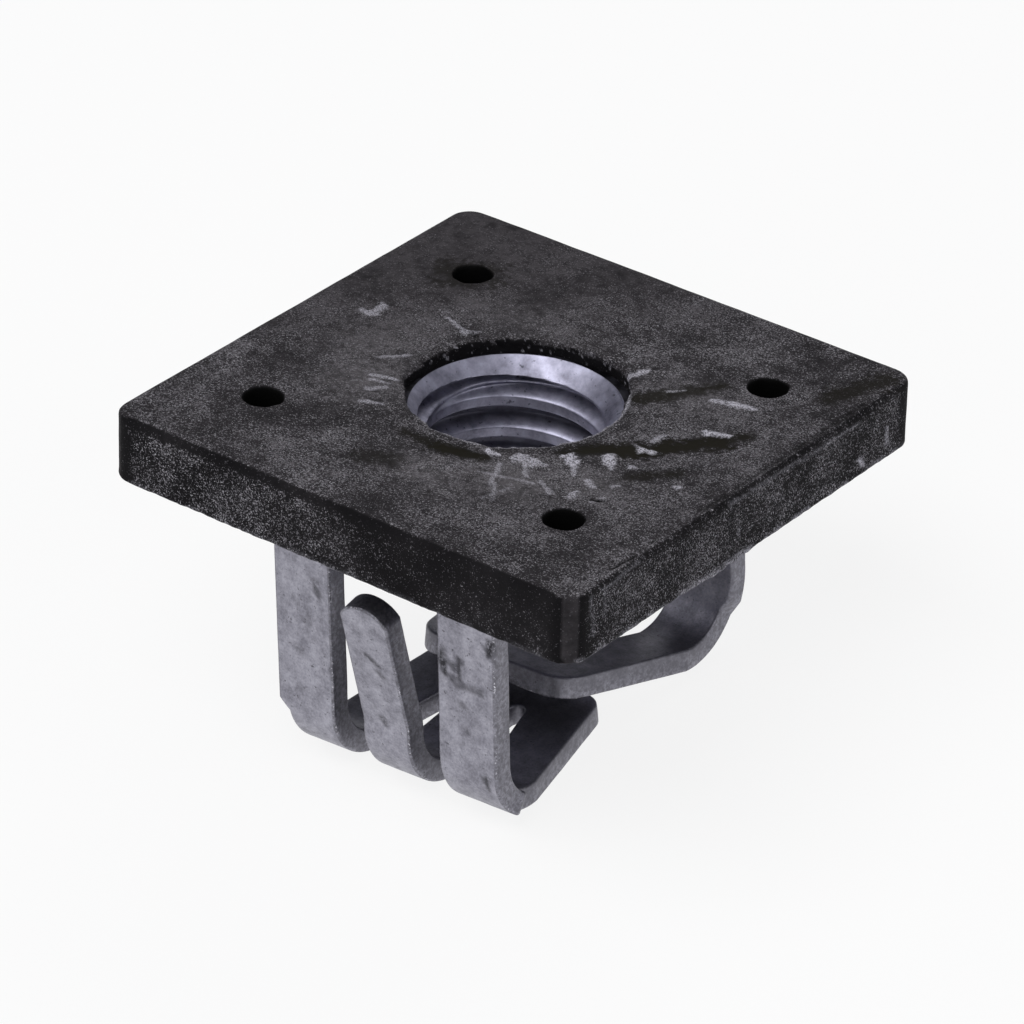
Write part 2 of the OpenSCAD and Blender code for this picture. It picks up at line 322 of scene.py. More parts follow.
# the same on the side at +X, as y, z to y, z
sideFlecks = [
    (8.3, 0.85, 8.75, 0.35, 0.2, 0.1, 1.0), (10.45, 1.5, 10.5, 0.4, 0.1, 0.08, 0.7),
    (-1.6, 3.0, 8.0, 2.75, 0.10, 0.10, 0.22), (-11.4, 2.9, -11.2, 1.0, 0.10, 0.05, 0.22),
    (-10.5, 2.9, -10.3, 1.2, 0.08, 0.05, 0.16), (-8.1, 3.1, -10.6, 2.9, 0.05, 0.08, 0.25),
    (-3.6, 0.1, 0.2, 0.06, 0.10, 0.12, 0.7), (-0.9, 1.9, -0.7, 0.8, 0.07, 0.05, 0.25),
]
# dents in the top, and how deep; the material paints shade into them
topDents = [
    (8.2, -5.4, 8.6, -5.15, 0.14, 0.10, 0.12), (12.2, -9.4, 12.35, -8.0, 0.10, 0.06, 0.12),
    (12.3, -3.2, 12.35, 9.0, 0.13, 0.12, 0.07), (3.9, -7.4, 4.1, -7.25, 0.07, 0.06, 0.06),
    (-4.75, 3.0, -4.5, 2.9, 0.14, 0.12, 0.08),
]
# rubbed smooth and stained a dark olive
topStains = [
    (0.3, -6.0, 2.3, -5.5, 0.42, 0.30, 1.0), (4.9, -2.9, 5.6, -1.9, 0.30, 0.45, 0.9),
    (5.6, -2.0, 7.2, -0.7, 0.40, 0.55, 1.0), (7.2, -0.9, 9.4, 2.0, 0.60, 0.55, 1.0),
    (9.2, 1.9, 10.2, 3.4, 0.45, 0.25, 0.8), (4.6, 3.0, 6.6, 6.2, 0.55, 0.35, 0.75),
    (8.2, -2.9, 9.8, -1.2, 0.32, 0.24, 0.6), (-1.6, -5.9, 0.2, -6.0, 0.2, 0.35, 0.7),
    (10.9, 8.4, 11.9, 11.4, 0.5, 0.6, 0.6), (-8.6, 7.1, -7.9, 7.6, 1.3, 1.2, 0.45),
    (-1.5, -8.6, -0.5, -8.3, 0.7, 0.6, 0.4),
]
# rubbed pale, with fine scratches: x, y, reach along each, strength
topScuffs = [
    (4.6, -6.4, 1.9, 1.5, 1.0), (-6.0, -3.2, 1.9, 2.2, 1.0), (-7.6, -0.6, 1.8, 2.4, 0.7),
    (7.6, -4.2, 1.6, 1.2, 0.6), (6.4, 4.6, 2.4, 1.5, 0.5), (-3.6, 5.6, 3.0, 1.4, 0.4),
    (1.6, -8.2, 2.4, 1.2, 0.6),
]


# rounded square, its points running on evenly along each corner and side
def roundedSquare(half, radius, z, v):
    points = []
    flat = half - radius
    for quarter in range(4):
        turn = Matrix.Rotation(math.pi / 2 * quarter, 3, "Z")
        for i in range(v["cornerSteps"]):
            a = math.pi / 2 * i / v["cornerSteps"]
            points.append(turn @ Vector((flat + radius * math.cos(a), flat + radius * math.sin(a), z)))
        for i in range(v["sideSteps"]):
            points.append(turn @ Vector((flat - 2 * flat * i / v["sideSteps"], half, z)))
    return points


# how far the lip is torn back there
def tornBack(way, v):
    angle = math.degrees(math.atan2(way.y, way.x)) % 360
    return sum(depth * max(0.0, 1 - ((angle - middle) / spread) ** 2) for middle, spread, depth in v["tears"])


def buildPad(v):
    half, top, bottom, lipFloor = padHigh.x, padHigh.z, padLow.z, nutHigh.z
    edge, foot, lip = v["edgeRadius"], v["footRadius"], v["lipRound"]
    around = [Vector((p.x, p.y, 0)).normalized() for p in roundedSquare(half, v["cornerRadius"], 0, v)]

    def circle(radius, z):
        return [d * radius + Vector((0, 0, z)) for d in around]

    # ragged more and more towards the top of the lip
    def mouth(radius, z):
        share = 0.3 + 0.7 * (z - lipFloor) / (top - lipFloor)
        ring = []
        for d in around:
            p = d * radius + Vector((0, 0, z))
            rag = v["lipRag"] * share * (wobble(p, 1.0 * mm, 3) + 0.7 * wobble(p, 0.28 * mm, 9) + 0.15)
            ring.append(p + d * (rag + tornBack(d, v)))
        return ring

    def square(inset, z):
        return roundedSquare(half - inset, v["cornerRadius"] - inset, z, v)

    rings = [circle(v["pocketRadius"], bottom), circle(v["pocketRadius"], lipFloor)]
    rings += [mouth(v["mouthRadius"], lipFloor + (top - lip - lipFloor) * i / 6) for i in range(7)]
    for i in range(1, 4):
        a = math.pi / 2 * i / 3
        rings.append(mouth(v["mouthRadius"] + lip * (1 - math.cos(a)), top - lip + lip * math.sin(a)))
    inner = rings[-1]
    outer = square(edge, top)
    for i in range(1, v["topRows"] + 1):
        share = (i / v["topRows"]) ** 1.25
        rings.append([a.lerp(b, share) for a, b in zip(inner, outer)])
    for i in range(1, 6):
        a = math.pi / 2 * i / 5
        rings.append(square(edge * (1 - math.sin(a)), top - edge * (1 - math.cos(a))))
    for i in range(1, v["sideRows"] + 1):
        rings.append(square(0, top - edge + (bottom + foot - top + edge) * i / v["sideRows"]))
    for i in range(1, 4):
        a = math.pi / 2 * i / 3
        rings.append(square(foot * (1 - math.cos(a)), bottom + foot * (1 - math.sin(a))))
    rings += [[a.lerp(b, i / 12) for a, b in zip(rings[-1], rings[0])] for i in range(1, 12)]
    pad = addObject("padBody", *stitchRings(rings, closed=True))
    weatherPad(pad, v, skinValues)
    cutPinHoles(pad, v)
    finishMesh(pad, 50)
    for name, values in padMarks(pointsOf(pad), v, skinValues).items():
        paint(pad, name, values)
    return pad


# how the pad's skin wears and where its grain's glints are painted: sizes and depths in millimetres, the rest
# as shares
skinValues = {
    "fine": 0.22, "middling": 0.7, "broad": 2.6,    # sizes of the patches
    "fineRag": 0.9, "middlingRag": 0.5,
    "topBand": 0.3, "wallReach": 0.45,
    "rimWidth": 0.12, "rimStrength": 0.75,
    "wallFlecks": 0.6,
    "flashHeight": 0.12, "flashRight": 0.5, "flashFront": 0.15,
    "cornerFrom": 1.6, "cornerTo": 0.8,
    "dentDepth": 0.12, "stainDepth": 0.02,
    "glintsTop": 0.72, "glintsFront": 0.64, "glintsRight": 0.66,
    "dustTop": 0.62, "dustSides": 0.1,
    "topWaves": ((0.020, 3.4, 1), (0.010, 0.9, 2)),    # height, size and seed
    "sideWaves": ((0.02, 2.5, 4), (0.012, 0.7, 6)),
    "rimWave": (0.05, 0.7, 7),
    "sink": 0.03, "sideSink": 0.02,
}


# strongest of several smears at each point, each from a to b with a width at both ends
def smears(across, rag, marks, soft=0.07):
    strongest = np.zeros(len(across))
    for ax, ay, bx, by, startWidth, endWidth, strength in marks:
        start, way = np.array((ax, ay)), np.array((bx - ax, by - ay))
        along = np.clip((across - start) @ way / (way @ way), 0, 1)
        gap = np.linalg.norm(across - start - along[:, None] * way, axis=1)
        width = (startWidth + (endWidth - startWidth) * along) * (1 + rag)
        strongest = np.maximum(strongest, strength * np.clip((width - gap) / soft + 0.5, 0, 1))
    return strongest


# what has happened to the pad's skin at each point, in millimetres
def padMarks(p, v, s):
    half, top, mouth = padHigh.x / mm, padHigh.z / mm, v["mouthRadius"] / mm
    x, y, z = p[:, 0], p[:, 1], p[:, 2]
    reach, farSide, nearSide = np.hypot(x, y), np.maximum(abs(x), abs(y)), np.minimum(abs(x), abs(y))
    fine, middling, broad = (wobbles(p, s[name], seed)
                             for name, seed in (("fine", 21), ("middling", 22), ("broad", 23)))
    rag = s["fineRag"] * fine + s["middlingRag"] * middling
    onTop = (z > top - s["topBand"]) & (reach > mouth + 0.05) & (farSide < half - 0.02)
    onRight = (x > half - 0.15) & (z < top - 0.05)
    onFront = (y < 0.15 - half) & (z < top - 0.05)
    wall = (reach < mouth + s["wallReach"]) & ~onTop
    corner = ramp(nearSide, half - s["cornerFrom"], half - s["cornerTo"])

    fleck = np.where(onTop, smears(p[:, [0, 1]], rag, topFlecks), 0)
    fleck = np.maximum(fleck, np.where(onRight, smears(p[:, [1, 2]], rag, sideFlecks), 0))
    # thin pale rag that the punch left round the mouth, most of it near and to the right
    facing = (x * 0.95 - y * 0.3) / np.maximum(reach, 0.01)
    rimLine = np.clip(1 - abs(reach - mouth - 0.1) / s["rimWidth"], 0, 1) * (z > top - 0.2)
    fleck = np.maximum(fleck, rimLine * ramp(facing + 0.5 * middling, -0.5, 0.5) * s["rimStrength"])
    fleck = np.maximum(fleck, wall * (y > 0) * ramp(fine, 0.38, 0.5) * s["wallFlecks"])
    # pale line of flash along the lower edges
    lowEdge = ramp(s["flashHeight"] - z + 0.2 * middling, 0.0, s["flashHeight"])
    fleck = np.maximum(fleck, lowEdge * (s["flashRight"] * onRight + s["flashFront"] * onFront))

    dent = np.where(onTop, smears(p[:, [0, 1]], rag, topDents), 0)
    # the pin holes' walls take the dents' painted shade in full, and no grain glints or dust
    pinX, pinY = (abs(p[:, i]) - v["pinPitch"][i] / mm / 2 for i in (0, 1))
    inPin = (np.hypot(pinX, pinY) < 1.15 * v["pinRadius"] / mm) & (z < top - 0.1)
    inPin &= z > top - 0.1 - v["pinDepth"] / mm
    dent = np.where(inPin, s["dentDepth"], dent)
    stain = np.where(onTop, smears(p[:, [0, 1]], rag, topStains, soft=0.5), 0)
    scuff = np.zeros(len(p))
    for middleX, middleY, reachX, reachY, strength in topScuffs:
        distance = ((x - middleX) / reachX) ** 2 + ((y - middleY) / reachY) ** 2
        scuff = np.maximum(scuff, strength * np.exp(-distance) * onTop)

    away = (y - x) / (2 * half)
    # painted glints of the grain, set per face for how the light falls: fewer towards the back of the top and
    # to the right along the front
    grainGlints = s["glintsTop"] + 0.4 * broad + 0.2 * middling - 0.35 * ramp(away, 0.2, 0.9)
    grainGlints = np.where(onFront, s["glintsFront"] - 0.45 * ramp(x, -5, 8) + 0.3 * broad, grainGlints)
    grainGlints = np.where(onRight, s["glintsRight"] + 0.25 * broad, grainGlints)
    # least of it just below the top edges and at the corners
    grainGlints = np.where(z < top - 0.5, grainGlints, grainGlints * (1 - 0.75 * onFront - 0.35 * onRight))
    grainGlints = grainGlints * (1 - 0.85 * corner * (z < top - 0.1)) * (1 - 0.9 * stain) * (1 - wall) * (1 - inPin)
    dust = s["dustTop"] + 0.3 * broad + 0.4 * ramp(away, 0.1, 0.8) + 0.2 * scuff
    dust = np.where(onFront | onRight, (s["dustSides"] + 0.3 * broad) * (1 - corner), dust)
    dust = dust * (1 - stain) * (1 - wall) * (1 - inPin)
    return {"fleck": fleck, "dent": dent / s["dentDepth"], "stain": stain, "scuff": scuff,
            "grainGlints": np.clip(grainGlints, 0, 1.2), "dust": np.clip(dust, 0, 1)}


# a moulded face is never quite flat, the mouth's rim is raised and ragged, and marks stand up or sink in
def weatherPad(pad, v, s):
    half, top, mouth = padHigh.x / mm, padHigh.z / mm, v["mouthRadius"] / mm
    p = pointsOf(pad)
    marks = padMarks(p, v, s)
    reach = np.maximum(np.hypot(p[:, 0], p[:, 1]), 0.01)
    farSide = np.maximum(abs(p[:, 0]), abs(p[:, 1]))
    grain = wobbles(p, 0.3, 5)
    nearRim = np.clip(1 - (reach - mouth) / 0.8, 0, 1)
    rimHeight, rimSize, rimSeed = s["rimWave"]
    up = sum(height * wobbles(p, size, seed) for height, size, seed in s["topWaves"]) - s["sink"]
    up += rimHeight * nearRim * wobbles(p, rimSize, rimSeed)
    up += marks["fleck"] * (0.05 + 0.05 * grain)
    up -= s["dentDepth"] * marks["dent"] + s["stainDepth"] * marks["stain"]
    atTop = (p[:, 2] > top - 0.2) & (reach > mouth * 0.98)
    p[:, 2] += np.where(atTop, up, 0)
    atSide = (farSide > half - 0.4) & (p[:, 2] > v["footRadius"] / mm) & ~atTop
    out = sum(height * wobbles(p, size, seed) for height, size, seed in s["sideWaves"])
    out += 0.03 * marks["fleck"] - s["sideSink"]
    p[:, 0] += np.where(atSide, out * p[:, 0] / reach, 0)
    p[:, 1] += np.where(atSide, out * p[:, 1] / reach, 0)
    # flash hangs a little below the lower edges, most at the middle of the side at +X
    farSide = np.maximum(abs(p[:, 0]), abs(p[:, 1]))
    atFoot = (farSide > half - 0.16) & (p[:, 2] < 0.13)
    flash = 0.03 + 0.12 * np.exp(-((p[:, 1] + 1.8) / 1.8) ** 2) * (p[:, 0] > half - 0.3)
    p[:, 2] -= np.where(atFoot, flash * (1 + 1.6 * wobbles(p, 0.35, 8)), 0)
    pad.data.vertices.foreach_set("co", (p * mm).ravel())


def cutPinHoles(pad, v):
    steps = 40
    # radius and depth along the cutter, as shares of the hole's own
    profile = [(0.85, -1.0), (1.0, -0.95), (1.0, -0.5), (1.0, -0.12), (1.02, -0.05), (1.1, 0.0), (1.25, 0.06)]
    cutters = []
    for sx in (-1, 1):
        for sy in (-1, 1):
            centre = Vector((sx * v["pinPitch"][0] / 2, sy * v["pinPitch"][1] / 2, padHigh.z - 0.03 * mm))
            rings = []
            for share, depth in profile:
                ring = flatRing(v["pinRadius"] * share, depth * v["pinDepth"], steps)
                rings.append([centre + p * (1 + 0.08 * wobble(centre + p, 0.5 * mm, 11)) for p in ring])
            vertices, faces = stitchRings(rings)
            faces.append(tuple(range(steps)))
            faces.append(tuple((len(rings) - 1) * steps + i for i in range(steps)))
            cutter = addObject("pinCutter", vertices, faces)
            finishMesh(cutter, 40)
            cut = pad.modifiers.new("pinHole", "BOOLEAN")
            cut.operation = "DIFFERENCE"
            cut.solver = "EXACT"
            cut.object = cutter
            cutters.append(cutter)
    bakeModifiers(pad)
    for cutter in cutters:
        bpy.data.objects.remove(cutter)


plasticValues = {
    "grit": 0.10 * mm,        # sand-blasted mould's own grain
    "spark": 0.07 * mm,
    "clump": 0.5 * mm,
    "scratch": 1.2 * mm,
    "gritDepth": 0.04 * mm,
    "black": "#131214",
    "dusty": "#444144",
    "scuffed": "#6c696c",
    "rubbedAndGlint": "#7b787e",
    "glint": "#b4b2b8",
    "stained": "#141108",
    "fleck": "#bbb9c3",
    "hollowShade": "#060606",
    "refraction": 1.53,
    "sheen": 0.05,
    # heights of the grit's pattern above which a grain shows, and how soft its edge is
    "bareLevel": 0.80,
    "glintingLevel": 0.60,
    "clumping": 0.25,
    "grainEdge": 0.15,
    "scratchWidth": 0.022,
    "rubShare": 0.55,
}


# nylon pad, injection moulded and sand-textured: matt black, its grains partly rubbed grey and partly painted
# with glints
def mouldedPlastic(v):
    material, tree = newMaterial("mouldedSandTexturedNylon")
    place = addNode(tree, "ShaderNodeTexCoord").outputs["Object"]
    marks = {name: addNode(tree, "ShaderNodeAttribute", {"attribute_name": name}).outputs["Fac"]
             for name in ("fleck", "dent", "stain", "scuff", "grainGlints", "dust")}
    grit, spark = (addNode(tree, "ShaderNodeTexNoise", {},
                           {"Vector": place, "Scale": 1 / v[name], "Detail": 2.0, "Roughness": 0.6})
                   for name in ("grit", "spark"))
    clump, curl = (addNode(tree, "ShaderNodeTexNoise", {},
                           {"Vector": place, "Scale": 1 / v[name], "Detail": 4.0, "Roughness": 0.65})
                   for name in ("clump", "scratch"))
    # more painted grain glints and dust lower the height at which a grain shows
    glinting = addNode(tree, ranged, {},
                     {"Value": marks["grainGlints"], 1: 0.0, 2: 1.0, 3: v["bareLevel"], 4: v["glintingLevel"]})
    level = addNode(tree, maths, {"operation": "MULTIPLY_ADD"}, {0: clump, 1: -v["clumping"], 2: glinting})
    full = addNode(tree, maths, {"operation": "ADD"}, {0: level, 1: v["grainEdge"]})
    # the grain's specks and sparkles: painted glints, with some grains rubbed grey
    speck = addNode(tree, ranged, {}, {"Value": grit, 1: level, 2: full, 3: 0.0, 4: 1.0})
    sparkLevel = addNode(tree, maths, {"operation": "ADD"}, {0: level, 1: 0.06})
    sparkFull = addNode(tree, maths, {"operation": "ADD"}, {0: level, 1: 0.13})
    sparkle = addNode(tree, ranged, {}, {"Value": spark, 1: sparkLevel, 2: sparkFull, 3: 0.0, 4: 1.0})
    blotch = addNode(tree, ranged, {}, {"Value": clump, 1: 0.3, 2: 0.65, 3: 0.3, 4: 0.95})
    dusty = addNode(tree, maths, {"operation": "MULTIPLY"}, {0: marks["dust"], 1: blotch})
    # fine scratches: thin contours of a curling pattern
    middle = addNode(tree, maths, {"operation": "SUBTRACT"}, {0: curl, 1: 0.5})
    off = addNode(tree, maths, {"operation": "ABSOLUTE"}, {0: middle})
    line = addNode(tree, ranged, {}, {"Value": off, 1: 0.0, 2: v["scratchWidth"], 3: 1.0, 4: 0.0})
    scratch = addNode(tree, maths, {"operation": "MULTIPLY"}, {0: line, 1: marks["scuff"]})
    broken = addNode(tree, maths, {"operation": "MULTIPLY"}, {0: scratch, 1: blotch})
    rubbing = addNode(tree, maths, {"operation": "MULTIPLY"}, {0: marks["scuff"], 1: blotch})
    scuffed = addNode(tree, maths, {"operation": "MULTIPLY"}, {0: rubbing, 1: v["rubShare"]})
    patchy = addNode(tree, ranged, {}, {"Value": spark, 1: 0.40, 2: 0.55, 3: 0.12, 4: 1.0})
    shown = addNode(tree, maths, {"operation": "MULTIPLY"}, {0: marks["fleck"], 1: patchy})
    # each layer lies over the one before
    # the last layer is painted shade in the dents and the pin holes
    layers = [(speck, v["rubbedAndGlint"]), (sparkle, v["glint"]), (dusty, v["dusty"]), (scuffed, v["scuffed"]),
              (broken, v["rubbedAndGlint"]), (marks["stain"], v["stained"]), (shown, v["fleck"]),
              (marks["dent"], v["hollowShade"])]
    tone = linearColour(v["black"])
    for amount, colour in layers:
        laid = addNode(tree, "ShaderNodeMix", {"data_type": "RGBA"},
                       {0: amount, 6: tone, 7: linearColour(colour)})
        tone = laid.outputs[2]
    gritty = addNode(tree, ranged, {}, {"Value": marks["stain"], 1: 0.0, 2: 1.0, 3: 0.8, 4: 0.12})
    bump = addNode(tree, "ShaderNodeBump", {},
                   {"Strength": gritty, "Distance": v["gritDepth"], "Height": grit})
    rough = addNode(tree, ranged, {}, {"Value": marks["stain"], 1: 0.0, 2: 1.0, 3: 0.7, 4: 0.5})
    surface = addNode(tree, "ShaderNodeBsdfPrincipled", {},
                      {"Base Color": tone, "Roughness": rough, "IOR": v["refraction"],
                       "Specular IOR Level": v["sheen"], "Normal": bump})
    addNode(tree, "ShaderNodeOutputMaterial", {}, {"Surface": surface})
    return material


# the nut

nutValues = {
    "threadRadius": 4.7625 * mm,
    "pitch": 1.5875 * mm,
    "exitChamfer": 0.5 * mm,
    "threadPhase": 0.0,
    "collarRadius": 5.4125 * mm,
    "shoulder": -1.9 * mm,
    "corner": 1.0 * mm,
    "edge": 0.15 * mm,
    "ridge": 0.34 * mm,
    "ridgeDrop": 0.43 * mm,
    "ridgeReach": 0.24 * mm,
    "around": 192,
    "rows": 200,
    "cornerSteps": 4,
}


# the thread as a grid rolled into a bore, its radius the deepest of thread, countersink and exit
def threadNodes(v):
    tree = bpy.data.node_groups.new("threadedBore", "GeometryNodeTree")
    face = tree.interface
    face.new_socket("Geometry", in_out="INPUT", socket_type="NodeSocketGeometry")
    sizes = {"Major Radius": v["threadRadius"], "Minor Radius": boreRadius, "Pitch": v["pitch"],
             "Phase": v["threadPhase"], "Top": nutHigh.z, "Bottom": nutLow.z,
             "Exit Chamfer": v["exitChamfer"], "Ridge": v["ridge"], "Ridge Drop": v["ridgeDrop"],
             "Ridge Reach": v["ridgeReach"]}
    ids = {}
    for name, value in sizes.items():
        ids[face.new_socket(name, in_out="INPUT", socket_type="NodeSocketFloat").identifier] = value
    face.new_socket("Geometry", in_out="OUTPUT", socket_type="NodeSocketGeometry")
    given = addNode(tree, "NodeGroupInput").outputs
    major, minor, top, bottom = (given[name] for name in ("Major Radius", "Minor Radius", "Top", "Bottom"))

    grid = addNode(tree, "GeometryNodeMeshGrid", {},
                   {"Size X": 1.0, "Size Y": 1.0, "Vertices X": v["rows"] + 1, "Vertices Y": v["around"] + 1})
    position = addNode(tree, "GeometryNodeInputPosition")
    place = addNode(tree, "ShaderNodeSeparateXYZ", {}, {0: position}).outputs
    turn = addNode(tree, maths, {"operation": "ADD"}, {0: place[1], 1: 0.5})
    angle = addNode(tree, maths, {"operation": "MULTIPLY"}, {0: turn, 1: 2 * math.pi})
    share = addNode(tree, maths, {"operation": "ADD"}, {0: place[0], 1: 0.5})
    deep = addNode(tree, maths, {"operation": "SUBTRACT"}, {0: top, 1: bottom})
    height = addNode(tree, maths, {"operation": "MULTIPLY_ADD"}, {0: share, 1: deep, 2: bottom})
    # which part of the pitch lies at this height and turn: 0 at the root of the groove, 1 at the crest
    turns = addNode(tree, maths, {"operation": "DIVIDE"}, {0: height, 1: given["Pitch"]})
    phased = addNode(tree, maths, {"operation": "ADD"}, {0: turn, 1: given["Phase"]})
    climb = addNode(tree, maths, {"operation": "SUBTRACT"}, {0: turns, 1: phased})
    within = addNode(tree, maths, {"operation": "FRACT"}, {0: climb})
    centred = addNode(tree, maths, {"operation": "SUBTRACT"}, {0: within, 1: 0.5})
    size = addNode(tree, maths, {"operation": "ABSOLUTE"}, {0: centred})
    fromRoot = addNode(tree, maths, {"operation": "MULTIPLY"}, {0: size, 1: 2.0})
    rootFlat, crestStart = 0.125, 0.75
    thread = addNode(tree, ranged, {"interpolation_type": "SMOOTHSTEP"},
                     {"Value": fromRoot, 1: rootFlat, 2: crestStart, 3: major, 4: minor})
    # the countersink rolled a low ridge into the first groove, just below its own end
    coneDepth = addNode(tree, maths, {"operation": "SUBTRACT"}, {0: major, 1: minor})
    ridgeFromTop = addNode(tree, maths, {"operation": "ADD"}, {0: coneDepth, 1: given["Ridge Drop"]})
    ridgeHeight = addNode(tree, maths, {"operation": "SUBTRACT"}, {0: top, 1: ridgeFromTop})
    fromRidge = addNode(tree, maths, {"operation": "SUBTRACT"}, {0: height, 1: ridgeHeight})
    away = addNode(tree, maths, {"operation": "ABSOLUTE"}, {0: fromRidge})
    ridge = addNode(tree, ranged, {"interpolation_type": "SMOOTHSTEP"},
                    {"Value": away, 1: 0.0, 2: given["Ridge Reach"], 3: given["Ridge"], 4: 0.0})
    ridged = addNode(tree, maths, {"operation": "SUBTRACT"}, {0: thread, 1: ridge})
    grooved = addNode(tree, maths, {"operation": "MAXIMUM"}, {0: ridged, 1: minor})
    # both cones open at 45 degrees: radius and height change alike
    aboveCone = addNode(tree, maths, {"operation": "ADD"}, {0: height, 1: major})
    cone = addNode(tree, maths, {"operation": "SUBTRACT"}, {0: aboveCone, 1: top})
    exitRadius = addNode(tree, maths, {"operation": "ADD"}, {0: minor, 1: given["Exit Chamfer"]})
    exitTop = addNode(tree, maths, {"operation": "ADD"}, {0: exitRadius, 1: bottom})
    leaving = addNode(tree, maths, {"operation": "SUBTRACT"}, {0: exitTop, 1: height})
    upper = addNode(tree, maths, {"operation": "MAXIMUM"}, {0: grooved, 1: cone})
    radius = addNode(tree, maths, {"operation": "MAXIMUM"}, {0: upper, 1: leaving})
    cosine = addNode(tree, maths, {"operation": "COSINE"}, {0: angle})
    sine = addNode(tree, maths, {"operation": "SINE"}, {0: angle})
    x = addNode(tree, maths, {"operation": "MULTIPLY"}, {0: radius, 1: cosine})
    y = addNode(tree, maths, {"operation": "MULTIPLY"}, {0: radius, 1: sine})
    point = addNode(tree, "ShaderNodeCombineXYZ", {}, {0: x, 1: y, 2: height})
    rolled = addNode(tree, "GeometryNodeSetPosition", {}, {"Geometry": grid, "Position": point})
    closed = addNode(tree, "GeometryNodeMergeByDistance", {}, {"Geometry": rolled, "Distance": 0.001 * mm})
    real = addNode(tree, "GeometryNodeRealizeInstances", {}, {"Geometry": closed})
    steel = addNode(tree, "GeometryNodeSetMaterial", {}, {"Geometry": real, "Material": nutSteel})
    addNode(tree, "NodeGroupOutput", {}, {0: steel})
    return tree, ids


def buildThreadWall(v):
    wall = addObject("collarNut", [], [])
    tree, sizes = threadNodes(v)
    rolling = wall.modifiers.new("threadedBore", "NODES")
    rolling.node_group = tree
    for identifier, value in sizes.items():
        rolling[identifier] = value
    bakeModifiers(wall)
    return wall


def endRing(wall, z):
    ends = [p.co.copy() for p in wall.data.vertices if abs(p.co.z - z) < 0.0005 * mm]
    return sorted(ends, key=lambda p: math.atan2(p.y, p.x) % (2 * math.pi - 1e-6))


# square with cut corners; point i of it lies out from point i of the bore
def cutSquare(half, corner, z, v):
    long = v["around"] // 4 - v["cornerSteps"]
    points = []
    for quarter in range(4):
        turn = Matrix.Rotation(math.pi / 2 * quarter, 3, "Z")
        first, second = Vector((half, half - corner, z)), Vector((half - corner, half, z))
        third = Vector((corner - half, half, z))
        points += [turn @ first.lerp(second, i / v["cornerSteps"]) for i in range(v["cornerSteps"])]
        points += [turn @ second.lerp(third, i / long) for i in range(long)]
    # starts where the square crosses the X axis, as the bore does
    first = max(range(v["around"]), key=lambda i: points[i].x - abs(points[i].y))
    return points[first:] + points[:first]


def buildNut(v):
    nut = buildThreadWall(v)
    half, bottom, top = nutHigh.x, nutLow.z, nutHigh.z
    lowRing, highRing = endRing(nut, bottom), endRing(nut, top)
    e, collar, shoulder = v["edge"], v["collarRadius"], v["shoulder"]
    edgeTurns = (0.4, 0.8, 1.2, math.pi / 2)

    def square(inset, z):
        return cutSquare(half - inset, v["corner"], z, v)

    rings = [lowRing]
    rings += [[a.lerp(b, i / 8) for a, b in zip(lowRing, square(e, bottom))] for i in range(1, 9)]
    rings += [square(e * (1 - math.sin(a)), bottom + e * (1 - math.cos(a))) for a in edgeTurns]
    rings += [square(0, bottom + e + (shoulder - bottom - 2 * e) * i / 6) for i in range(1, 7)]
    rings += [square(e * (1 - math.cos(a)), shoulder - e + e * math.sin(a)) for a in edgeTurns]
    foot = flatRing(collar + 0.1 * mm, shoulder, v["around"])
    rings += [[a.lerp(b, i / 4) for a, b in zip(rings[-1], foot)] for i in range(1, 5)]
    collarHeights = [shoulder + 0.1 * mm + (top - shoulder - 0.2 * mm) * i / 8 for i in range(9)]
    rings += [flatRing(collar, z, v["around"]) for z in collarHeights]
    rings += [flatRing(collar - 0.1 * mm, top, v["around"]),
              flatRing(v["threadRadius"] + 0.04 * mm, top, v["around"]), highRing]
    body = addObject("nutOutside", *stitchRings(rings))
    joined = bmesh.new()
    joined.from_mesh(nut.data)
    joined.from_mesh(body.data)
    joined.to_mesh(nut.data)
    joined.free()
    bpy.data.objects.remove(body)
    # the rolled wall's steel may sit in a second slot: one slot for every face
    nut.data.materials.clear()
    nut.data.materials.append(nutSteel)
    nut.data.polygons.foreach_set("material_index", [0] * len(nut.data.polygons))
    finishMesh(nut, 35)
    # painted shade: the thread's grooves darker, more so deeper in the bore, and the land under the pad's lip
    # dark
    p = pointsOf(nut)
    reach = np.hypot(p[:, 0], p[:, 1])
    major, minor, topMm = v["threadRadius"] / mm, boreRadius / mm, top / mm
    inThread = p[:, 2] < topMm - (major - minor) - 0.05
    deeper = 0.15 + 0.45 * ramp(topMm - p[:, 2], 1.2, 2.6)
    dirtAndShade = np.where(inThread & (reach < major + 0.02), deeper * ramp(reach, minor + 0.1, major), 0)
    paint(nut, "dirtAndShade", np.maximum(dirtAndShade, ramp(reach, major - 0.01, major + 0.04) * (p[:, 2] > topMm - 0.1)))
    return nut


zincValues = {
    "cloud": 1.1 * mm,
    "pit": 0.22 * mm,
    "toolMark": 0.12 * mm,
    "dull": "#72717f",
    "bright": "#b8b7cb",
    "dirtAndShade": "#1d1c1f",
    "skinDepth": 0.015 * mm,
}
